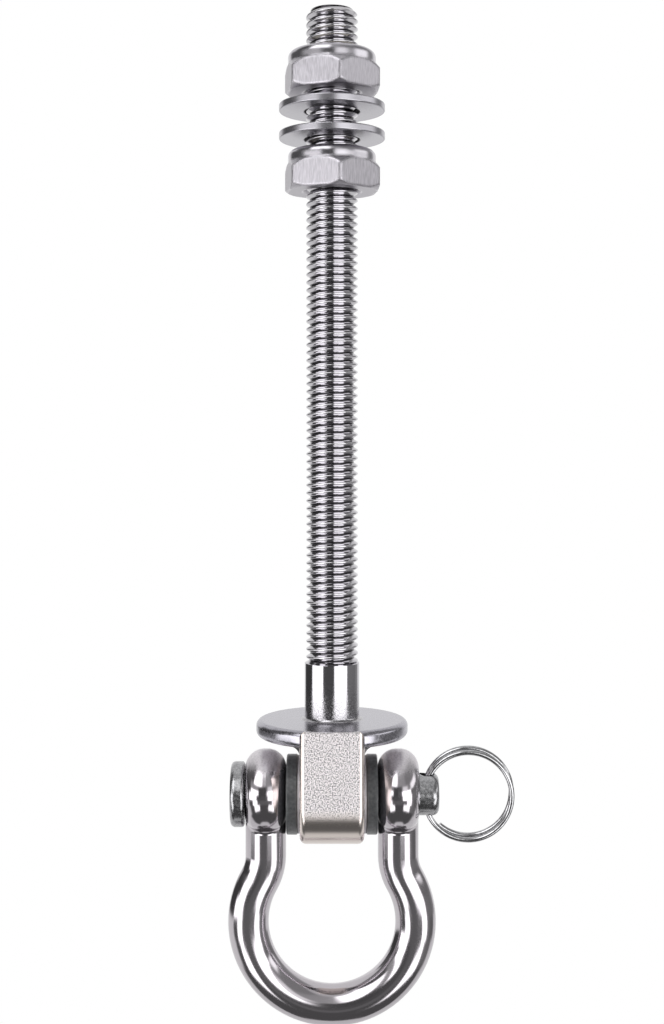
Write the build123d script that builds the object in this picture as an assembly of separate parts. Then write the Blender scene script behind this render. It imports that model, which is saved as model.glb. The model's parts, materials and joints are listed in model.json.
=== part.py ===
"""Ceiling swing hanger: a through bolt cast in one piece with its flange and eye,
two lock nuts and two washers on its thread, and a bow shackle hung from the eye
on a clevis pin in flanged bushes, the pin kept in place by a split ring.

Millimetres. The origin is the centre of the flange's bearing face, +Z runs up the
bolt, X runs along the pin with the split ring at +X, and the front is -Y.
"""
import os
from math import atan2, cos, degrees, radians, sin, sqrt

from build123d import *

# Fits
run = 0.08           # radial play of the pin in its holes
screw = 0.05         # radial play of a nut on the bolt's crests
slip = 0.05          # play between faces that slide on each other
press = 0.02         # radial play of a bush in the eye
grip = 0.03          # play round a nylon ring in its groove and on the thread

# Stud and shank
bolt_d = 10.0        # nominal metric thread
crest_play = 0.03    # the thread's crests are this much under nominal
stud_h = 136.4       # bearing face to the bolt's tip
tip_c = 1.0          # chamfer at the tip
shank_h = 11.4       # plain shank above the bearing face
shank_c = 0.6        # height of the shank's chamfer down from the thread
shank_over = 0.5     # the shank's diameter over nominal
foot_r = 0.8         # hollow rounding at the shank's foot
thread_d = bolt_d - crest_play
shank_d = bolt_d + shank_over

# Flange
flange_d = 29.1
flange_t = 3.2
rim_r = 0.36 * flange_t

# Clevis pin
pin_d = 8.0
pin_drop = 14.55     # bearing face down to the pin's axis
head_lip = 2.2       # the head over the pin, each side
head_t = 2.6
head_face_r = 0.9    # rounding of the head's outer edge
head_back_r = 0.5    # rounding of the edge next to the lug
pin_tip_r = 1.2      # rounding of the pin's other end
pin_land = 0.7       # metal between the cross hole and that end
pin_z = -pin_drop
head_d = pin_d + 2 * head_lip

# Bushes
bush_wall = 1.5      # barrel
bush_lip = 2.1       # the collar over the barrel
bush_t = 2.15        # collar's thickness
bush_r = 0.35        # collar's edges
bush_gap = 0.3       # from the eye's middle to each barrel's inner end
bush_barrel_d = pin_d + 2 * bush_wall
bush_flange_d = bush_barrel_d + 2 * bush_lip
bush_bore_d = pin_d + 2 * run

# Eye block
eye_w = 12.0         # along the pin
eye_wall = 1.9       # round the bore, at the block's lower corners
eye_proud = 0.1      # front and back faces beyond the flange's rim
eye_sink = 0.05      # top below the bearing face
edge_r = 0.8         # rounding right round both flanks
shoulder_r = 0.4     # rounding at the top of the front and back faces
cove_r = 2.0         # between each flank and the flange
cove_root = 0.5      # how far a cove's metal runs up into the flange
seat_t = 0.5         # raised seat for a bush's collar on each flank
seat_in = 0.2        # the seat's edge inside the collar's
eye_bore_d = bush_barrel_d + 2 * press
eye_corner_r = eye_bore_d / 2 + eye_wall
eye_bottom = pin_z - eye_corner_r
eye_top = -eye_sink
eye_depth = flange_d + 2 * eye_proud
seat_x = eye_w / 2 + seat_t
seat_d = bush_flange_d - 2 * seat_in
bush_in = seat_x + slip

# Shackle
rod_d = 7.8
lug_over = 0.1       # a lug is this much thicker than the rod
lug_wall = 3.92      # metal round the pin's hole
lug_rise = 0.6       # lug's centre above the pin's
crease_r = 1.2       # where a lug runs into its leg
neck_l = 4.36        # straight leg between the lug and the bend
turn_r = 9.6         # bend from the leg into the bow
bow_swell = 3.35     # the bow's radius beyond the legs
pin_hole_d = pin_d + 2 * run
lug_t = rod_d + lug_over
lug_r = pin_hole_d / 2 + lug_wall
lug_in = bush_in + bush_t + 2 * slip
lug_out = lug_in + lug_t
leg_x = (lug_in + lug_out) / 2
turn_z = pin_z + lug_rise - lug_r - neck_l
bow_r = leg_x + bow_swell
bow_rise = sqrt((bow_r + turn_r) ** 2 - (leg_x + turn_r) ** 2)
bow_z = turn_z - bow_rise

# Split ring: its two turns lie side by side and a little apart in height
wire_d = 1.04
ring_r = 8.4         # to the middle of the wire
ring_play = 0.92     # the cross hole over two wires
turn_gap = 0.02      # half the gap between the two turns
turn_dz = 0.3        # half their difference in height
ring_cut = 131       # degrees below +X where the back turn is cut off
ring_over = 150      # degrees from +X where the wire starts to change over
ring_tail = 152      # degrees above +X where the front turn is cut off
hole_d = 2 * wire_d + ring_play
hole_x = lug_out + 2 * slip + hole_d / 2
pin_end = hole_x + hole_d / 2 + pin_land
turn_y = wire_d / 2 + turn_gap
ring_x = hole_x + (ring_r + sqrt(ring_r ** 2 - (pin_d / 2) ** 2)) / 2

# Nuts
nut_wall = 3.5       # from the thread's nominal size to a flat
nut_hex_h = 5.3
nut_collar_h = 2.6
nut_turn = 9.5       # degrees that a corner stands to the right of the front
nut_edge_r = 0.6     # rounding of the hexagon's upright edges
nut_top_c = 1.3      # height of the hexagon's upper corner chamfer
nut_base_c = 0.9     # height of its lower one
nut_corner_c = 1.1   # how far both reach in from the corners
collar_set = 0.05    # collar inside the flats
collar_r = 1.2       # collar's crown
nut_sink = 0.6       # countersink of the thread
insert_w = 1.95      # nylon ring's width
insert_drop = 0.3    # groove's floor below the hexagon's top
insert_lip = 0.6     # metal lip rolled over the nylon
nut_af = bolt_d + 2 * nut_wall
nut_h = nut_hex_h + nut_collar_h
nut_collar_d = nut_af - 2 * collar_set
nut_bore_d = thread_d + 2 * screw
insert_d = thread_d + 2 * insert_w
insert_z0 = nut_hex_h - insert_drop
insert_z1 = nut_h - insert_lip

# Washers
washer_play = 0.6    # bore over nominal
washer_w = 4.9       # band from the bore to the rim
washer_t = 1.4
washer_r = 0.22      # stamped edges
washer_bore_d = bolt_d + washer_play
washer_d = washer_bore_d + 2 * washer_w

# How the nuts and washers stand on the stud, from the tip down
tip_over = 8.1       # thread above the upper nut
upper_gap = 2.15     # upper nut to upper washer
washer_gap = 4.0     # washer to washer
lower_gap = 2.15     # lower washer to lower nut
upper_nut_z = stud_h - tip_over - nut_h
upper_washer_z = upper_nut_z - upper_gap - washer_t
lower_washer_z = upper_washer_z - washer_gap - washer_t
lower_nut_z = lower_washer_z - lower_gap - nut_h

BASE = (Align.CENTER, Align.CENTER, Align.MIN)


def tube(outer_d, inner_d, z0, z1):
    """A plain ring about Z between two heights."""
    ring = Circle(outer_d / 2) - Circle(inner_d / 2)
    return extrude(Plane.XY.offset(z0) * ring, z1 - z0)


def along_x(d, x0, x1, z):
    """A cylinder along X at height z."""
    face = Plane(origin=(x0, 0, z), z_dir=(1, 0, 0)) * Circle(d / 2)
    return extrude(face, x1 - x0)


def eye_block():
    """Upright block with its lower corners rounded about the pin's height."""
    height = eye_top - eye_bottom
    side = Plane.YZ * (Pos(0, eye_bottom + height / 2) * Rectangle(eye_depth, height))
    block = extrude(side, eye_w / 2, both=True)
    block = fillet(block.edges().filter_by(Axis.X).group_by(Axis.Z)[0], eye_corner_r)
    rims = [e for f in block.faces().filter_by(Plane.YZ) for e in f.edges()]
    block = fillet(rims, edge_r)
    return fillet(block.edges().filter_by(Axis.X).group_by(Axis.Z)[-1], shoulder_r)


def cove():
    """Hollow fillet between the block's right flank and the flange's flat underside."""
    x, z = eye_w / 2, -flange_t
    reach = sqrt((flange_d / 2 - rim_r) ** 2 - (x + cove_r) ** 2)
    web = make_face([
        Line((x - edge_r, z + cove_root), (x + cove_r, z + cove_root)),
        Line((x + cove_r, z + cove_root), (x + cove_r, z)),
        RadiusArc((x + cove_r, z), (x, z - cove_r), cove_r),
        Line((x, z - cove_r), (x - edge_r, z - cove_r)),
        Line((x - edge_r, z - cove_r), (x - edge_r, z + cove_root)),
    ])
    return extrude(Plane.XZ * web, reach, both=True)


def swing_bolt():
    """Stud, shank, flange and eye block in one casting."""
    stud = Cylinder(thread_d / 2, stud_h - shank_h, align=BASE)
    stud = chamfer(stud.edges().group_by(Axis.Z)[-1], tip_c)
    shank = Cylinder(shank_d / 2, shank_h, align=BASE)
    wall = shank.faces().filter_by(GeomType.CYLINDER)[0]
    top_edge = shank.edges().group_by(Axis.Z)[-1]
    shank = chamfer(top_edge, shank_c, (shank_d - thread_d) / 2, reference=wall)
    flange = Pos(0, 0, -flange_t) * Cylinder(flange_d / 2, flange_t, align=BASE)
    flange = fillet(flange.edges().filter_by(GeomType.CIRCLE), rim_r)
    turned = flange + shank
    foot = turned.edges().filter_by_position(Axis.Z, -slip, slip).sort_by(SortBy.RADIUS)[0]
    turned = fillet(foot, foot_r)
    right_cove = cove()
    body = turned + eye_block() + right_cove + mirror(right_cove, Plane.YZ)
    body += along_x(seat_d, -seat_x, seat_x, pin_z)
    body -= along_x(eye_bore_d, -eye_w, eye_w, pin_z)
    return body + Pos(0, 0, shank_h) * stud


def bush():
    """Flanged bush for the eye's right side."""
    barrel = along_x(bush_barrel_d, bush_gap, bush_in, pin_z)
    collar = along_x(bush_flange_d, bush_in, bush_in + bush_t, pin_z)
    collar = fillet(collar.edges().filter_by(GeomType.CIRCLE), bush_r)
    return barrel + collar - along_x(bush_bore_d, 0, bush_in + 2 * bush_t, pin_z)


def shackle():
    """Bow shackle: one round rod bent to the bow, with a forged lug on each end."""
    lean = degrees(atan2(bow_rise, leg_x + turn_r))
    section = Plane(origin=(leg_x, 0, turn_z)) * Circle(rod_d / 2)
    leg = extrude(section, pin_z - turn_z)
    turn = revolve(section, Axis((leg_x + turn_r, 0, turn_z), (0, -1, 0)), lean)
    start = Plane(
        origin=(bow_r * cos(radians(lean)), 0, bow_z + bow_r * sin(radians(lean))),
        z_dir=(sin(radians(lean)), 0, -cos(radians(lean))),
    )
    bow = revolve(start * Circle(rod_d / 2), Axis((0, 0, bow_z), (0, 1, 0)), 180 + 2 * lean)

    lug = along_x(2 * lug_r, lug_in, lug_out, pin_z + lug_rise)
    lug = fillet(lug.edges().filter_by(GeomType.CIRCLE), 0.46 * lug_t)
    arm = leg + lug
    crease = [
        e for e in arm.edges()
        if e.geom_type == GeomType.BSPLINE and e.center().Z < pin_z - lug_r / 4
    ]
    arm = fillet(crease, crease_r)
    arm -= along_x(pin_hole_d, lug_in - lug_t, lug_out + lug_t, pin_z)
    arm += turn
    return bow + arm + mirror(arm, Plane.YZ)


def clevis_pin():
    """Headed pin with a cross hole beyond the right lug."""
    head_in = -(lug_out + 2 * slip)
    head = along_x(head_d, head_in - head_t, head_in, pin_z)
    head = fillet(head.edges().filter_by(GeomType.CIRCLE).sort_by(Axis.X)[0], head_face_r)
    head = fillet(head.edges().filter_by(GeomType.CIRCLE).sort_by(Axis.X)[-1], head_back_r)
    shaft = along_x(pin_d, head_in - head_t / 2, pin_end, pin_z)
    shaft = fillet(shaft.edges().filter_by(GeomType.CIRCLE).sort_by(Axis.X)[-1], pin_tip_r)
    hole = Pos(hole_x, 0, pin_z) * Cylinder(hole_d / 2, 2 * pin_d)
    return head + shaft - hole


def ring_point(angle, y, dz):
    """A point on one turn of the split ring, at an angle up from +X."""
    a = radians(angle)
    return Vector(ring_x + ring_r * cos(a), y, pin_z + dz + ring_r * sin(a))


def ring_turn(start, end, y, dz):
    """One stretch of the ring's wire, round its own centre."""
    a = radians(start)
    plane = Plane(origin=ring_point(start, y, dz), z_dir=(-sin(a), 0, cos(a)))
    axis = Axis((ring_x, y, pin_z + dz), (0, -1, 0))
    return revolve(plane * Circle(wire_d / 2), axis, end - start)


def split_ring():
    """Two turns of wire. They change over inside the pin's cross hole."""
    back = ring_turn(-ring_cut, ring_over, turn_y, turn_dz)
    front = ring_turn(-ring_over, ring_tail, -turn_y, -turn_dz)
    a = ring_point(ring_over, turn_y, turn_dz)
    b = ring_point(-ring_over, -turn_y, -turn_dz)
    down = [(-sin(radians(t)), 0, cos(radians(t))) for t in (ring_over, -ring_over)]
    path = Spline(a, b, tangents=down)
    over = sweep(Plane(origin=a, z_dir=down[0]) * Circle(wire_d / 2), path)
    return back + over + front


def hexagon():
    """The nut's hexagon, its upright edges and its corners rounded off."""
    outline = RegularPolygon(nut_af / 2, 6, major_radius=False, rotation=30 + nut_turn)
    prism = extrude(fillet(outline.vertices(), nut_edge_r), nut_hex_h)
    corners = Cylinder(nut_af / 2 / cos(radians(30)), nut_hex_h, align=BASE)
    for end, height in ((0, nut_base_c), (-1, nut_top_c)):
        edge = corners.edges().group_by(Axis.Z)[end]
        wall = corners.faces().filter_by(GeomType.CYLINDER)[0]
        corners = chamfer(edge, height, nut_corner_c, reference=wall)
    return prism & corners


def nut():
    """Lock nut: hexagon, round collar, and a groove for the nylon ring."""
    collar = Cylinder(nut_collar_d / 2, nut_collar_h + insert_drop, align=BASE)
    collar = fillet(collar.edges().group_by(Axis.Z)[-1], collar_r)
    body = hexagon() + Pos(0, 0, nut_hex_h - insert_drop) * collar
    bore = Cylinder(nut_bore_d / 2, nut_h, align=BASE)
    bore = bore + Cone(nut_bore_d / 2 + nut_sink, nut_bore_d / 2, nut_sink, align=BASE)
    groove = Pos(0, 0, insert_z0) * Cylinder(insert_d / 2, insert_z1 - insert_z0, align=BASE)
    mouth = Pos(0, 0, insert_z0) * Cylinder(insert_d / 2 - insert_lip, nut_h, align=BASE)
    return body - bore - groove - mouth


def insert():
    """The nut's nylon ring, bored out by the thread it grips."""
    return tube(insert_d - 2 * grip, thread_d + 2 * grip, insert_z0 + grip, insert_z1 - grip)


def washer():
    """Plain washer with stamped edges."""
    ring = tube(washer_d, washer_bore_d, 0, washer_t)
    return fillet(ring.edges().filter_by(GeomType.CIRCLE), washer_r)


one_nut, one_insert, one_washer, one_bush = nut(), insert(), washer(), bush()
nodes = {
    "swing_bolt": swing_bolt(),
    "upper_nut": Pos(0, 0, upper_nut_z) * one_nut,
    "upper_nut_insert": Pos(0, 0, upper_nut_z) * one_insert,
    "lower_nut": Pos(0, 0, lower_nut_z) * one_nut,
    "lower_nut_insert": Pos(0, 0, lower_nut_z) * one_insert,
    "upper_washer": Pos(0, 0, upper_washer_z) * one_washer,
    "lower_washer": Pos(0, 0, lower_washer_z) * one_washer,
    "left_bush": mirror(one_bush, Plane.YZ),
    "right_bush": one_bush,
    "shackle": shackle(),
    "clevis_pin": clevis_pin(),
    "split_ring": split_ring(),
}

os.makedirs("parts", exist_ok=True)
for name, solid in nodes.items():
    export_step(solid, f"parts/{name}.step")
    box = solid.bounding_box()
    print(name, len(solid.solids()), round(solid.volume, 1), box.min, box.max)
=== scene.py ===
# %% [markdown]
# A ceiling swing hanger in stainless steel. A long threaded bolt goes up through a beam,
# its flange bears against the ceiling, and a bow shackle swings from the eye below on a
# clevis pin. Two lock nuts and two washers wait on the thread.
# The CAD model already has every piece at its real size and place. This lesson loads it as
# a frame, builds what CAD leaves plain (the thread), and then works on steel and nylon.

# %% Load the CAD frame
import json
import math

import bmesh
import bpy
from mathutils import Matrix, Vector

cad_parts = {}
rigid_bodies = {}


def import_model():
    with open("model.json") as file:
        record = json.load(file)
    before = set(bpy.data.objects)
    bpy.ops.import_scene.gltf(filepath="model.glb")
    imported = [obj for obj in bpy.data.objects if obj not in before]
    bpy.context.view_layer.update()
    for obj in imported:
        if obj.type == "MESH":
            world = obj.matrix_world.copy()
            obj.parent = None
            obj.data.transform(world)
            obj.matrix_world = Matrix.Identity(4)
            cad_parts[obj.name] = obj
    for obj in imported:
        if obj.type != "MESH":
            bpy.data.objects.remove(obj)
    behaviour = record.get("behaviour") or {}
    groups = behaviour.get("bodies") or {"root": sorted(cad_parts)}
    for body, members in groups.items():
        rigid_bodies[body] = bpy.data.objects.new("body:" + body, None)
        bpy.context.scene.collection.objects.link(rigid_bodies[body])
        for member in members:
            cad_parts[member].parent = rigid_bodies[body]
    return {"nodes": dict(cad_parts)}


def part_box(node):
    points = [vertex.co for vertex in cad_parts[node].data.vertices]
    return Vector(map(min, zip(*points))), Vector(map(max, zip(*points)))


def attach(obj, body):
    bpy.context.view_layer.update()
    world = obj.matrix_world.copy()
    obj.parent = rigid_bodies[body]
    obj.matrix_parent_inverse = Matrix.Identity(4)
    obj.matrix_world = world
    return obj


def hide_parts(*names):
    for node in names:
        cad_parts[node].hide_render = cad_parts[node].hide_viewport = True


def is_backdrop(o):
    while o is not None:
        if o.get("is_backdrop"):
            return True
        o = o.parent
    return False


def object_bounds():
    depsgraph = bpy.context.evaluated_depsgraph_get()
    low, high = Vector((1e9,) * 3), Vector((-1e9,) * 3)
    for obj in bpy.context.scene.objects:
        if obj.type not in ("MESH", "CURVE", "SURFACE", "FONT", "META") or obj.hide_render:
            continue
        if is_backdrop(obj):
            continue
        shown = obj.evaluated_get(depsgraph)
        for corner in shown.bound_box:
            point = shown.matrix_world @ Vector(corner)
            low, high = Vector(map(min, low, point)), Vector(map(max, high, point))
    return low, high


for left_over in list(bpy.data.objects):
    bpy.data.objects.remove(left_over)
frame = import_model()
nodes = frame["nodes"]
cad_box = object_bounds()
mm = 0.001
print("CAD box in mm:", [[round(c / mm, 2) for c in corner] for corner in cad_box])

# %% [markdown]
# The camera stands level in front, well above the flange, so the nuts are seen from below
# and the flange from above. A tilted camera would make upright edges lean, so the camera
# stays level, as product photographers keep it, and a small lens shift moves the tip of the
# bolt to the top of the picture and the bow to the bottom.

# %% Camera
camera_away = 285 * mm
camera_up = 52.5 * mm
lens = bpy.data.cameras.new("camera")
lens.sensor_fit = "VERTICAL"
lens.sensor_height = 36.0
lens.lens = 52.0
lens.shift_y = -0.0645
camera = bpy.data.objects.new("camera", lens)
camera.location = (0.0, -camera_away, camera_up)
camera.rotation_euler = (math.radians(90), 0.0, 0.0)
bpy.context.scene.collection.objects.link(camera)
bpy.context.scene.camera = camera
bpy.context.scene.view_settings.view_transform = "Standard"
print("camera at", [round(c, 4) for c in camera.location])

# %% [markdown]
# Every material and the studio are small node trees. One helper adds a node, sets what
# is given by name, and links or fills its inputs, so that each tree reads from top to
# bottom like a recipe. A socket goes by its name or its number; a Mix node has two of each
# name, so there 2 and 3 are its numbers and 6 and 7 its colours. Colours are written as on
# screen and turned to linear light once.

# %% Helpers for node trees and colours
def node(tree, kind, inputs=None, **settings):
    """Add a node with its settings; inputs maps a socket to a value or an output."""
    made = tree.nodes.new(kind)
    for key, value in settings.items():
        setattr(made, key, value)
    for key, value in (inputs or {}).items():
        if isinstance(value, bpy.types.NodeSocket):
            tree.links.new(value, made.inputs[key])
        else:
            made.inputs[key].default_value = value
    return made


def srgb(code):
    """A hex colour as on screen, in the linear light that the shaders work in."""
    shares = [int(code[i:i + 2], 16) / 255 for i in (1, 3, 5)]
    linear = [s / 12.92 if s <= 0.04045 else ((s + 0.055) / 1.055) ** 2.4 for s in shares]
    return (*linear, 1.0)


print("helpers ready, mid grey is", [round(c, 3) for c in srgb("#808080")])

# %% [markdown]
# Polished steel has hardly a colour of its own: it shows the room. A product photographer
# lights it with tall soft boxes left and right, puts dark cards between and beside them, so
# that every rod gets crisp dark and bright bands, and keeps a white wall behind, which shows
# as a thin light line along each edge. One more panel hangs high at the left, for the tops
# of the lugs. Lamps and boards could make this room, but they would be nearer to the tip
# than to the bow. A world is equally far from all of it, so the room is drawn there by
# compass direction, in rings of height. The camera sees plain white behind the object.

# %% Studio
studio = bpy.data.worlds.new("studio")
bpy.context.scene.world = studio
studio.use_nodes = True
room = studio.node_tree
room.nodes.clear()
ray = node(room, "ShaderNodeTexCoord")
axis = node(room, "ShaderNodeSeparateXYZ", {0: ray.outputs["Generated"]})
away = node(room, "ShaderNodeMath", {0: axis.outputs["Y"], 1: -1.0}, operation="MULTIPLY")
turn = node(
    room, "ShaderNodeMath", {0: axis.outputs["X"], 1: away.outputs[0]}, operation="ARCTAN2"
)
compass = node(
    room, "ShaderNodeMapRange",
    {"Value": turn.outputs[0], "From Min": -math.pi, "From Max": math.pi},
)
height = node(room, "ShaderNodeMath", {0: axis.outputs["Z"]}, operation="ARCSINE")

# Each ring starts to take over at one height and has taken over at the next, in degrees.
# Its panels are degrees to the right of the camera's side, and the brightness there.
rings = (
    (-90, -89, ((-180, 0.75), (180, 0.75))),
    (-82, -76, ((-180, 0.75), (-104, 0.75), (-92, 0.1), (92, 0.1), (104, 0.75), (180, 0.75))),
    (-44, -38, (
        (-180, 0.85), (-92, 0.85), (-78, 0.12), (-57, 0.1), (-50, 2.6), (-23, 2.6), (-17, 0.1),
        (13, 0.1), (19, 2.6), (52, 2.6), (60, 0.25), (84, 0.2), (100, 0.2), (112, 0.8),
        (180, 0.85),
    )),
    (-28, -23, (
        (-180, 0.85), (-96, 0.85), (-86, 0.1), (-65, 0.1), (-59, 2.6), (-37, 2.6), (-31, 0.16),
        (34, 0.16), (40, 2.6), (62, 2.6), (70, 0.3), (92, 0.16), (112, 0.16), (122, 0.8),
        (180, 0.85),
    )),
    (-15, -11, (
        (-180, 0.95), (-152, 0.9), (-144, 0.06), (-94, 0.06), (-86, 2.6), (-41, 2.6), (-36, 0.1),
        (8, 0.1), (13, 2.6), (62, 2.6), (69, 0.25), (112, 0.22), (120, 0.3), (130, 0.3),
        (140, 0.9), (180, 0.95),
    )),
    (-4, 3, (
        (-180, 0.95), (-140, 0.95), (-132, 0.06), (-80, 0.06), (-72, 2.8), (-30, 2.8), (-25, 0.08),
        (5, 0.08), (10, 2.7), (57, 2.7), (64, 0.2), (112, 0.2), (130, 0.25), (140, 0.95),
        (180, 0.95),
    )),
    (8, 12, (
        (-180, 0.95), (-140, 0.95), (-132, 0.12), (-90, 0.12), (-78, 0.4), (-34, 0.4), (-22, 0.08),
        (4, 0.08), (14, 1.1), (34, 1.1), (48, 0.35), (56, 0.35), (70, 1.6), (100, 1.6), (114, 0.3),
        (130, 0.3), (140, 0.95), (180, 0.95),
    )),
    (20, 27, (
        (-180, 0.85), (-122, 0.8), (-112, 0.14), (-92, 0.1), (-66, 0.1), (-60, 2.5), (-10, 2.5),
        (-3, 0.42), (24, 0.4), (36, 0.28), (112, 0.28), (130, 0.4), (138, 0.8), (180, 0.85),
    )),
    (58, 64, ((-180, 0.85), (-100, 0.8), (-60, 0.6), (60, 0.6), (100, 0.8), (180, 0.85))),
)
light = None
for low, high, panels in rings:
    ring = node(room, "ShaderNodeValToRGB", {"Fac": compass.outputs[0]})
    stops = ring.color_ramp.elements
    while len(stops) < len(panels):
        stops.new(1.0)
    for stop, (degrees, bright) in zip(stops, panels):
        stop.position = (degrees + 180) / 360
        stop.color = (bright, bright, bright, 1.0)
    if light is None:
        light = ring.outputs["Color"]
        continue
    over = node(
        room, "ShaderNodeMapRange",
        {
            "Value": height.outputs[0],
            "From Min": math.radians(low), "From Max": math.radians(high),
        },
        interpolation_type="SMOOTHSTEP",
    )
    mixed = node(room, "ShaderNodeMix", {0: over.outputs[0], 2: light, 3: ring.outputs["Color"]})
    light = mixed.outputs[0]
path = node(room, "ShaderNodeLightPath")
seen = node(room, "ShaderNodeMix", {0: path.outputs["Is Camera Ray"], 2: light, 3: 1.0})
white = node(room, "ShaderNodeBackground", {"Color": (1.0, 1.0, 1.0, 1.0), 1: seen.outputs[0]})
node(room, "ShaderNodeOutputWorld", {"Surface": white.outputs[0]})
print("studio with", len(rings), "rings of panels")

# %% [markdown]
# The floor is a round of white paint well below the hanging shackle, out of the picture.
# It catches the hanger's soft shadow when seen from other angles. Reflections take the floor from
# the studio, so that the dark cards in front of the object stay dark in the steel.

# %% Floor
floor_r = 340 * mm
floor_z = -200 * mm
paint = bpy.data.materials.new("matt white floor paint, rolled")
paint.use_nodes = True
coat = paint.node_tree.nodes["Principled BSDF"]
coat.inputs["Base Color"].default_value = srgb("#F2F2F2")
coat.inputs["Roughness"].default_value = 0.9
bm = bmesh.new()
bmesh.ops.create_circle(
    bm, cap_ends=True, segments=128, radius=floor_r,
    matrix=Matrix.Translation((0, 0, floor_z)),
)
ground = bpy.data.meshes.new("floor")
bm.to_mesh(ground)
bm.free()
ground.materials.append(paint)
floor = bpy.data.objects.new("floor", ground)
floor.visible_glossy = False
bpy.context.scene.collection.objects.link(floor)
floor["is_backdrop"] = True
print("floor at", round(floor_z / mm), "mm")

# %% [markdown]
# Stainless steel, grade 304, is a pale grey metal with a trace of violet. What tells one
# piece from another is how its surface was made: rolled, turned, blasted, rumbled, polished.
# Photographs of such surfaces could be wrapped round the pieces, but a recipe needs none and
# fits any size. Each finish here is two greys and two roughnesses mixed by a grain, with the
# same grain pressed into the surface as a fine bump. Where a finish runs out into a polished
# part, a fade along one of the object's own axes takes the grain away. The same fades also
# set painted shade, dark in the thread's roots and in the washers' bores, and on the shackle
# they leave the lugs' tops painted paler, as painted light. A soft edge is a shading trick
# that rounds a corner for the light alone, as rumbling does for the steel.

# %% A recipe for a steel finish
def fade(tree, place, axis, start, end):
    """Rises from 0 to 1 between two distances in mm from the middle, along X, Y or Z, or from
    the bolt's own axis, R."""
    split = node(tree, "ShaderNodeSeparateXYZ", {0: place.outputs["Object"]}).outputs
    if axis == "R":
        level = node(tree, "ShaderNodeCombineXYZ", {0: split["X"], 1: split["Y"]}).outputs[0]
        far = node(tree, "ShaderNodeVectorMath", {0: level}, operation="LENGTH").outputs["Value"]
    else:
        far = node(tree, "ShaderNodeMath", {0: split[axis]}, operation="ABSOLUTE").outputs[0]
    return node(
        tree, "ShaderNodeMapRange",
        {"Value": far, "From Min": start * mm, "From Max": end * mm},
        interpolation_type="SMOOTHSTEP",
    ).outputs[0]


# A corner looks worn from a bend of about 6 degrees and fully so from 18, given as cosines
worn_from, worn_full = 0.995, 0.95


def steel(
    name, greys, roughness, grain, spread=(0.36, 0.64), stretch=(1, 1, 1), dent=0.0,
    polish_and_painted_light=(), gloss=0.12, keep=0.0, edge=0.0,
):
    """Grain, dent and edge are in mm. Spread is the part of the grain's noise in which one grey
    turns into the other. Stretch draws the grain out along an axis. The fades (axis, start, end)
    lead into the last grey, with roughness gloss and with only the share keep of the grain; they
    mark polished parts, and on the thread and washers also painted shade, on the shackle painted
    light. A soft edge is polished too."""
    finish = bpy.data.materials.new(name)
    finish.use_nodes = True
    tree = finish.node_tree
    shader = tree.nodes["Principled BSDF"]
    shader.inputs["Metallic"].default_value = 1.0
    place = node(tree, "ShaderNodeTexCoord")
    drawn = node(tree, "ShaderNodeMapping", {"Vector": place.outputs["Object"], "Scale": stretch})
    noise = node(
        tree, "ShaderNodeTexNoise",
        {"Vector": drawn.outputs[0], "Scale": 1 / (grain * mm), "Detail": 2.0},
    )
    speck = node(
        tree, "ShaderNodeMapRange",
        {"Value": noise.outputs[0], "From Min": spread[0], "From Max": spread[1]},
    ).outputs[0]
    tint = node(
        tree, "ShaderNodeMix", {0: speck, 6: srgb(greys[0]), 7: srgb(greys[1])}, data_type="RGBA"
    ).outputs[2]
    rough = node(
        tree, "ShaderNodeMapRange", {"Value": speck, "To Min": roughness[0], "To Max": roughness[1]}
    ).outputs[0]
    bump = node(tree, "ShaderNodeBump", {"Distance": dent * mm, "Height": noise.outputs[0]})
    fades = [fade(tree, place, *run) for run in polish_and_painted_light]
    if edge:
        soft = node(tree, "ShaderNodeBevel", {"Radius": edge * mm}, samples=6)
        tree.links.new(soft.outputs[0], bump.inputs["Normal"])
        flat = node(tree, "ShaderNodeNewGeometry")
        turned = node(
            tree, "ShaderNodeVectorMath", {0: soft.outputs[0], 1: flat.outputs["Normal"]},
            operation="DOT_PRODUCT",
        )
        worn = node(
            tree, "ShaderNodeMapRange",
            {"Value": turned.outputs["Value"], "From Min": worn_from, "From Max": worn_full},
        )
        fades.append(worn.outputs[0])
    # The share of the last grey follows the fades; where they mark painted shade or painted light,
    # it carries that too
    if fades:
        smooth = fades[0]
        for here in fades[1:]:
            most = node(tree, "ShaderNodeMath", {0: smooth, 1: here}, operation="MAXIMUM")
            smooth = most.outputs[0]
        share = node(tree, "ShaderNodeMath", {0: smooth, 1: 1 - keep}, operation="MULTIPLY")
        smooth = share.outputs[0]
        left = node(tree, "ShaderNodeMath", {0: 1.0, 1: smooth}, operation="SUBTRACT")
        tree.links.new(left.outputs[0], bump.inputs["Strength"])
        tint = node(
            tree, "ShaderNodeMix", {0: smooth, 6: tint, 7: srgb(greys[-1])}, data_type="RGBA"
        ).outputs[2]
        rough = node(tree, "ShaderNodeMix", {0: smooth, 2: rough, 3: gloss}).outputs[0]
    tree.links.new(tint, shader.inputs["Base Color"])
    tree.links.new(rough, shader.inputs["Roughness"])
    tree.links.new(bump.outputs[0], shader.inputs["Normal"])
    return finish


print("steel recipe ready, a corner is worn from a cosine of", worn_from)

# %% [markdown]
# One recipe gives every steel finish. Each could be a node tree drawn by hand, but side by
# side in one list they are easy to compare. Grit, rolling marks and scratches are
# mostly finer than the picture can show, so those are drawn as coarse as they need to show,
# a quarter to half a millimetre wide.

# %% Steel finishes
# A rolled thread is burnished bright by the rollers; its roots are painted dark, as painted shade
# between the flanks
thread_steel = steel(
    "304 stainless steel, rolled thread", ("#343236", "#444246", "#C8C6CA"), (0.2, 0.3), 0.5,
    polish_and_painted_light=[("R", 4.18, 4.38)], gloss=0.07,
)
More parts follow.
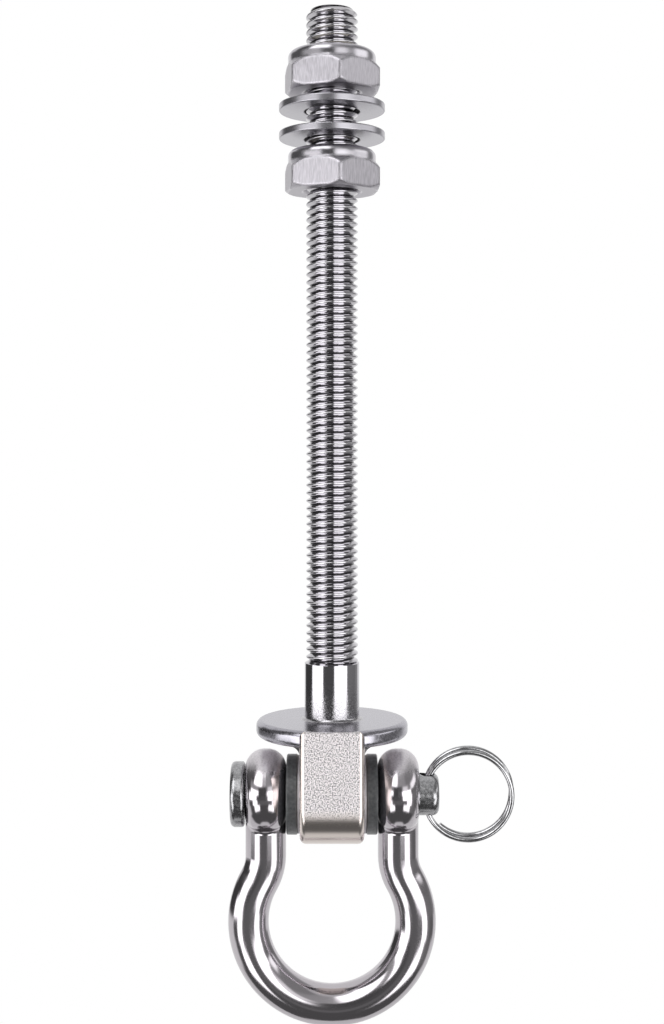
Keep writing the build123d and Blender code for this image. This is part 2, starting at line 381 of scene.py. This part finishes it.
# The shank is turned and polished to sharp bands, and its foot keeps some of the blasted grain
shank_steel = steel(
    "304 stainless steel, turned and polished", ("#8A888C", "#C8C6CA"), (0.10, 0.28), 0.22,
    dent=0.02, polish_and_painted_light=[("Z", 1.0, 9.0)], gloss=0.07, keep=0.12,
)
# The flange was faced and then rumbled to an even satin
flange_steel = steel(
    "304 stainless steel, faced and rumbled", ("#A6A4AC", "#B8B6BE"), (0.18, 0.28), 0.5,
    dent=0.002,
)
# Its underside keeps the dull skin of the casting and is painted pale, as painted light, so that
# the lugs below show it light
cast_skin_painted_light = steel(
    "304 stainless steel, cast skin", ("#E2E0E4", "#F2F0F4"), (0.85, 0.95), 0.4, dent=0.01,
)
# The eye sparkles from coarse blasting grit; its edges and round underside are rubbed to satin
eye_steel = steel(
    "304 stainless steel, grit blasted", ("#5A5458", "#FFFCFD", "#EAE0DA"), (0.75, 0.9), 0.24,
    spread=(0.32, 0.53), dent=0.06, polish_and_painted_light=[("X", 4.95, 5.2), ("Z", 13.8, 16.8)], gloss=0.24,
)
# The seats beside it are machined and dull
seat_steel = steel(
    "304 stainless steel, spot faced", ("#C4C2C6", "#DAD8DC"), (0.6, 0.75), 0.3, dent=0.006,
)
# Washers are stamped and rumbled smooth; the punched bore stays dull and is painted dark, as
# painted shade inside the hole
washer_steel = steel(
    "304 stainless steel, stamped and rumbled", ("#38363A", "#4C4A4E", "#BCBAC0"), (0.4, 0.5),
    0.4, dent=0.004, polish_and_painted_light=[("R", 5.3, 5.6)], gloss=0.25, keep=0.06,
)
# The forged shackle is polished nearly to a mirror; the tops of its lugs, where the wheel
# cannot reach, stay satin and are painted paler, as painted light on the tops
shackle_steel = steel(
    "304 stainless steel, forged and polished", ("#DAD6DA", "#F2EEF2", "#C6C1C6"), (0.42, 0.52),
    0.3, dent=0.006, polish_and_painted_light=[("Z", 7.0, 10.5)], gloss=0.1, keep=0.08,
)
# The pin is turned and rumbled, so its highlights are a little soft
pin_steel = steel(
    "304 stainless steel, turned and rumbled", ("#9C9C9E", "#BABABC"), (0.18, 0.28), 0.45,
    dent=0.003,
)
# Spring wire is drawn bright and shows thin, clear lines of light
ring_steel = steel(
    "302 stainless spring wire, drawn bright", ("#ACACAE", "#C8C8CA"), (0.08, 0.14), 0.5,
)
print("steel finishes:", sum(1 for m in bpy.data.materials if "stainless" in m.name))

# %% [markdown]
# Nylon is the other material. The bushes are moulded in charcoal nylon with a matt skin,
# and the locking rings in the nuts are natural nylon, which is milky. Neither is shiny, and
# one even colour would look like flat paint, so a grain in colour and bump breaks it up. The
# real grain is finer than the picture can show and is drawn 0.6 to 0.8 mm wide.

# %% Moulded nylon
nylon_ior = 1.53


def nylon(name, shades, roughness, grain, dent):
    """Moulded nylon in two shades with a grained skin. Grain and dent are in mm."""
    finish = bpy.data.materials.new(name)
    finish.use_nodes = True
    tree = finish.node_tree
    shader = tree.nodes["Principled BSDF"]
    shader.inputs["Roughness"].default_value = roughness
    shader.inputs["IOR"].default_value = nylon_ior
    place = node(tree, "ShaderNodeTexCoord")
    speck = node(
        tree, "ShaderNodeTexNoise",
        {"Vector": place.outputs["Object"], "Scale": 1 / (grain * mm), "Detail": 3.0},
    )
    tint = node(
        tree, "ShaderNodeMix",
        {0: speck.outputs[0], 6: srgb(shades[0]), 7: srgb(shades[1])}, data_type="RGBA",
    )
    tree.links.new(tint.outputs[2], shader.inputs["Base Color"])
    bump = node(
        tree, "ShaderNodeBump", {"Strength": 1.0, "Distance": dent * mm, "Height": speck.outputs[0]}
    )
    tree.links.new(bump.outputs[0], shader.inputs["Normal"])
    return finish


# Charcoal nylon is dark and takes only a soft shine
bush_nylon = nylon("charcoal nylon 66, moulded matt", ("#222426", "#6A6C6E"), 0.3, 0.6, 0.03)
# Natural nylon is the colour of milk
insert_nylon = nylon("natural nylon 66, moulded", ("#D8D4C6", "#ECE8DC"), 0.4, 0.8, 0.004)
print("nylon finishes ready")

# %% [markdown]
# Most CAD pieces already have the right shape, with true curves and normals, so they
# stay and only change their skin: each node's first material slot gets its finish.

# %% Finishes for the CAD pieces
skins = {
    "upper_nut_insert": insert_nylon,
    "lower_nut_insert": insert_nylon,
    "upper_washer": washer_steel,
    "lower_washer": washer_steel,
    "left_bush": bush_nylon,
    "right_bush": bush_nylon,
    "shackle": shackle_steel,
    "clevis_pin": pin_steel,
    "split_ring": ring_steel,
}
# The nuts' flats carry fine upright marks from the cold forming die; above the hexagon, which
# is so many mm high, the collar is turned bright
hex_h = 5.3
for name in ("upper_nut", "lower_nut"):
    collar_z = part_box(name)[0].z / mm + hex_h
    skins[name] = steel(
        "304 stainless steel, cold formed, " + name, ("#A8A5AB", "#C4C1C7"), (0.30, 0.42), 0.14,
        stretch=(1, 1, 0.08), dent=0.004, polish_and_painted_light=[("Z", collar_z - 0.05, collar_z + 0.15)],
        gloss=0.18, edge=0.8,
    )
for name, finish in skins.items():
    nodes[name].material_slots[0].material = finish
print("dressed", len(skins), "CAD pieces")

# %% [markdown]
# New pieces are built in bmesh. Most start as half an outline that is spun round an axis, as
# a lathe would turn it. All end the same way: doubles merged, faces turned outwards, smooth
# shading with real corners kept sharp, and a seat on a CAD body.

# %% Helpers for new pieces
# Points nearer than weld become one, and measures that differ by less than near are alike
weld = 0.002 * mm
near = 0.01 * mm


def draw(half):
    """Start a bmesh with an open outline, given as radius and height."""
    bm = bmesh.new()
    outline = [bm.verts.new((r, 0, z)) for r, z in half]
    for pair in zip(outline, outline[1:]):
        bm.edges.new(pair)
    return bm, outline


def lathe(bm, steps, centre=(0, 0, 0), axis=(0, 0, 1)):
    """Spin all that is drawn so far into a full, closed round."""
    bmesh.ops.spin(
        bm, geom=bm.verts[:] + bm.edges[:], cent=centre, axis=axis, angle=2 * math.pi,
        steps=steps, dvec=(0, 0, 0), use_merge=True,
    )


def new_verts(result):
    """The vertices among what an operator has made."""
    return [made for made in result["geom"] if isinstance(made, bmesh.types.BMVert)]


def piece(bm, name, finish, sharp=40):
    """Close the bmesh and make it a piece of the bolt."""
    bmesh.ops.remove_doubles(bm, verts=bm.verts, dist=weld)
    bmesh.ops.recalc_face_normals(bm, faces=bm.faces)
    mesh = bpy.data.meshes.new(name)
    bm.to_mesh(mesh)
    bm.free()
    mesh.shade_smooth()
    mesh.set_sharp_from_angle(angle=math.radians(sharp))
    mesh.materials.append(finish)
    made = bpy.data.objects.new(name, mesh)
    bpy.context.scene.collection.objects.link(made)
    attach(made, "bolt")
    print(name, len(mesh.polygons), "faces")
    return made


print("points nearer than", weld / mm, "mm are merged")

# %% [markdown]
# The stud is an M10 thread with 1.5 mm pitch. A thread can be faked with a bump, but its
# saw-toothed outline is plain to see here, so it is real: the outline of one tooth is
# swept round the axis and climbs one pitch in a turn, which spin does by itself when it is
# given a step. Copies of that turn, one pitch apart, make the whole thread in a fraction of
# the time of one long sweep. They start below the shank's top and end above the tip, and
# two flat cuts trim them. Points outside the chamfer's cone are drawn in to it.

# %% Threaded stud
stud_low = 11.2 * mm
stud_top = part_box("swing_bolt")[1].z - near
crest = 4.985 * mm
root = 4.15 * mm
pitch = 1.5 * mm
tip_chamfer = 1.0 * mm
# One tooth as shares of the pitch and of the depth, a 60 degree vee with a rounded crest
tooth = (
    (0.00, 0.00), (0.06, 0.02), (0.36, 0.88), (0.42, 0.98), (0.46, 1.00), (0.54, 1.00),
    (0.58, 0.98), (0.64, 0.88), (0.94, 0.02), (1.00, 0.00),
)
steps = 64
# The sweep starts so many pitches below the lower cut and has two turns to spare
lead_in = 1.5
spare_turns = 2
cut_snap = 0.0005 * mm
turns = math.ceil((stud_top - stud_low) / pitch) + spare_turns
bm, _ = draw([
    (root + (crest - root) * depth, stud_low + pitch * (share - lead_in))
    for share, depth in tooth
])
bmesh.ops.spin(
    bm, geom=bm.verts[:] + bm.edges[:], cent=(0, 0, 0), axis=(0, 0, 1), angle=2 * math.pi,
    steps=steps, dvec=(0, 0, pitch / steps), use_merge=False,
)
one_turn = bm.verts[:] + bm.edges[:] + bm.faces[:]
for turn_no in range(1, turns):
    raised = new_verts(bmesh.ops.duplicate(bm, geom=one_turn))
    bmesh.ops.translate(bm, verts=raised, vec=(0, 0, turn_no * pitch))
bmesh.ops.remove_doubles(bm, verts=bm.verts, dist=weld)
for level, side in ((stud_low, -1), (stud_top, 1)):
    bmesh.ops.bisect_plane(
        bm, geom=bm.verts[:] + bm.edges[:] + bm.faces[:], dist=cut_snap,
        plane_co=(0, 0, level), plane_no=(0, 0, side), clear_outer=True,
    )
for vert in bm.verts:
    reach = math.hypot(vert.co.x, vert.co.y)
    cone = crest - tip_chamfer + (stud_top - vert.co.z)
    if reach > cone:
        vert.co.x *= cone / reach
        vert.co.y *= cone / reach
for level in (stud_low, stud_top):
    rim = [e for e in bm.edges if e.is_boundary and abs(e.verts[0].co.z - level) < weld]
    bmesh.ops.edgeloop_fill(bm, edges=rim)
stud = piece(bm, "threaded_stud", thread_steel, sharp=55)

# %% [markdown]
# The shank is a turned shape: half its outline is drawn as a few points and spun into a full
# round. The hollow at its foot could be a second piece, but a vertex bevel of the outline's
# corner makes it a true quarter circle before the spin. The shank tapers to the thread's
# root at the top, as a rolled thread runs out.

# %% Shank
shank_r = 5.25 * mm
shank_top = 11.4 * mm
shank_taper = 0.6 * mm
foot_r = 0.8 * mm
bm, outline = draw([
    (0, shank_top), (root, shank_top), (shank_r, shank_top - shank_taper), (shank_r, 0),
    (shank_r + foot_r, 0), (shank_r + foot_r, -foot_r), (0, -foot_r),
])
foot_corner = outline[3]
bmesh.ops.bevel(
    bm, geom=[foot_corner], offset=foot_r, offset_type="OFFSET", segments=8, profile=0.5,
    affect="VERTICES", material=-1,
)
bmesh.ops.remove_doubles(bm, verts=bm.verts, dist=weld)
lathe(bm, steps=128)
piece(bm, "shank", shank_steel)

# %% [markdown]
# The flange is a disc. A ready-made cylinder would do, but its outline is spun like the
# shank's, so both share an axis. Both edges of the rim are then bevelled, because a bevel
# keeps its radius and reads as a soft band of light. Faces that look down get a second
# material, the dull cast skin painted pale as painted light.

# %% Flange
flange_r = 14.55 * mm
flange_t = 3.2 * mm
rim_round = 1.152 * mm
facing_down = -0.9
bm, _ = draw([(0, 0), (flange_r, 0), (flange_r, -flange_t), (0, -flange_t)])
lathe(bm, steps=192)
bmesh.ops.remove_doubles(bm, verts=bm.verts, dist=weld)
rim = [
    e for e in bm.edges
    if all(abs(math.hypot(v.co.x, v.co.y) - flange_r) < near for v in e.verts)
    and abs(e.verts[0].co.z - e.verts[1].co.z) < near
]
bmesh.ops.bevel(
    bm, geom=rim, offset=rim_round, offset_type="OFFSET", segments=7, profile=0.5,
    affect="EDGES", material=-1,
)
flange = piece(bm, "flange", flange_steel)
# The faces that look down get the cast skin painted pale, as painted light
flange.data.materials.append(cast_skin_painted_light)
for face in flange.data.polygons:
    if face.normal.z < facing_down:
        face.material_index = 1
flange.modifiers.new("flat faces stay flat", "WEIGHTED_NORMAL").keep_sharp = True

# %% [markdown]
# The eye block is an upright slab with its lower corners rounded about the pin. A flat
# side is drawn first: a rectangle, its two lower corners rounded by a vertex bevel, with
# the bore's circle bridged to it so that the hole is there from the start. That side is
# extruded to the eye's width and its rims are bevelled.

# %% Eye block
eye_low, eye_high = -21.97 * mm, -0.05 * mm
eye_half = 6.0 * mm
eye_front = 14.65 * mm
pin_z = -14.55 * mm
bore_r = 5.52 * mm
corner_r = 7.42 * mm
edge_r = 1.15 * mm
# An edge that bends by more than this, in radians, is a rim, unless it is near the bore
rim_bend = 1.0
bore_clear = 0.5 * mm
bm = bmesh.new()
side = (
    (-eye_front, eye_high), (-eye_front, eye_low), (eye_front, eye_low), (eye_front, eye_high),
)
bm.faces.new([bm.verts.new((-eye_half, y, z)) for y, z in side])
bmesh.ops.bevel(
    bm, geom=[v for v in bm.verts if v.co.z < pin_z], offset=corner_r, offset_type="OFFSET",
    segments=14, profile=0.5, affect="VERTICES", material=-1,
)
bmesh.ops.delete(bm, geom=bm.faces[:], context="FACES_ONLY")
outer = bm.edges[:]
lie = Matrix.Translation((-eye_half, 0, pin_z)) @ Matrix.Rotation(math.radians(90), 4, "Y")
hole = bmesh.ops.create_circle(bm, cap_ends=False, segments=64, radius=bore_r, matrix=lie)
inner = list({e for v in hole["verts"] for e in v.link_edges})
bmesh.ops.bridge_loops(bm, edges=outer + inner)
far_side = new_verts(bmesh.ops.extrude_face_region(bm, geom=bm.faces[:]))
bmesh.ops.translate(bm, verts=far_side, vec=(2 * eye_half, 0, 0))
rims = [
    e for e in bm.edges
    if abs(e.verts[0].co.x - e.verts[1].co.x) < near and e.calc_face_angle(0) > rim_bend
    and min(math.hypot(v.co.y, v.co.z - pin_z) for v in e.verts) > bore_r + bore_clear
]
bmesh.ops.bevel(
    bm, geom=rims, offset=edge_r, offset_type="OFFSET", segments=5, profile=0.5,
    affect="EDGES", material=-1,
)
eye = piece(bm, "eye_block", eye_steel)
eye.modifiers.new("flat faces stay flat", "WEIGHTED_NORMAL").keep_sharp = True
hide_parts("swing_bolt")

# %% [markdown]
# Each bush's collar sits on a low round seat on the block's flank. The seats could be two
# rings, but one band through the block gives both at once: a closed outline of four points
# is spun about the pin's axis, and the band's middle is hidden inside the block.

# %% Seats for the bushes
seat_x = 6.5 * mm
seat_r = 7.4 * mm
bm = bmesh.new()
section = ((-seat_x, bore_r), (seat_x, bore_r), (seat_x, seat_r), (-seat_x, seat_r))
outline = [bm.verts.new((x, 0, pin_z + r)) for x, r in section]
for pair in zip(outline, outline[1:] + outline[:1]):
    bm.edges.new(pair)
lathe(bm, steps=96, centre=(0, 0, pin_z), axis=(1, 0, 0))
piece(bm, "bush_seats", seat_steel)

# %% [markdown]
# A hollow fillet runs along each side of the block under the flange. A bevel can't make it
# between two separate pieces, so it is a piece of its own: one point is spun about the
# fillet's centre into a quarter circle, which is closed to a corner and extruded along the
# block. The second fillet is the mirror of the first.

# %% Coves under the flange
cove_r = 2.0 * mm
cove_half = 10.75 * mm
buried = 0.5 * mm
bm = bmesh.new()
start = bm.verts.new((eye_half + cove_r, -cove_half, -flange_t))
bmesh.ops.spin(
    bm, geom=[start], cent=(eye_half + cove_r, -cove_half, -flange_t - cove_r), axis=(0, 1, 0),
    angle=-math.radians(90), steps=10, dvec=(0, 0, 0), use_merge=False,
)
arc = sorted(bm.verts, key=lambda v: -v.co.x)
root_low = bm.verts.new((eye_half - edge_r, -cove_half, -flange_t - cove_r))
root_high = bm.verts.new((eye_half - edge_r, -cove_half, -flange_t + buried))
root_out = bm.verts.new((eye_half + cove_r, -cove_half, -flange_t + buried))
section = bm.faces.new(arc + [root_low, root_high, root_out])
far_end = new_verts(bmesh.ops.extrude_face_region(bm, geom=[section]))
bmesh.ops.translate(bm, verts=far_end, vec=(0, 2 * cove_half, 0))
second = new_verts(bmesh.ops.duplicate(bm, geom=bm.verts[:] + bm.edges[:] + bm.faces[:]))
bmesh.ops.scale(bm, verts=second, vec=(-1, 1, 1))
piece(bm, "flange_coves", shank_steel)

# %% [markdown]
# Last, both boxes are printed, the CAD model's and the dressed model's.

# %% Finish
boxes = {"cad": cad_box, "visual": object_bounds()}
boxes = {name: [list(corner) for corner in box] for name, box in boxes.items()}
print(boxes)
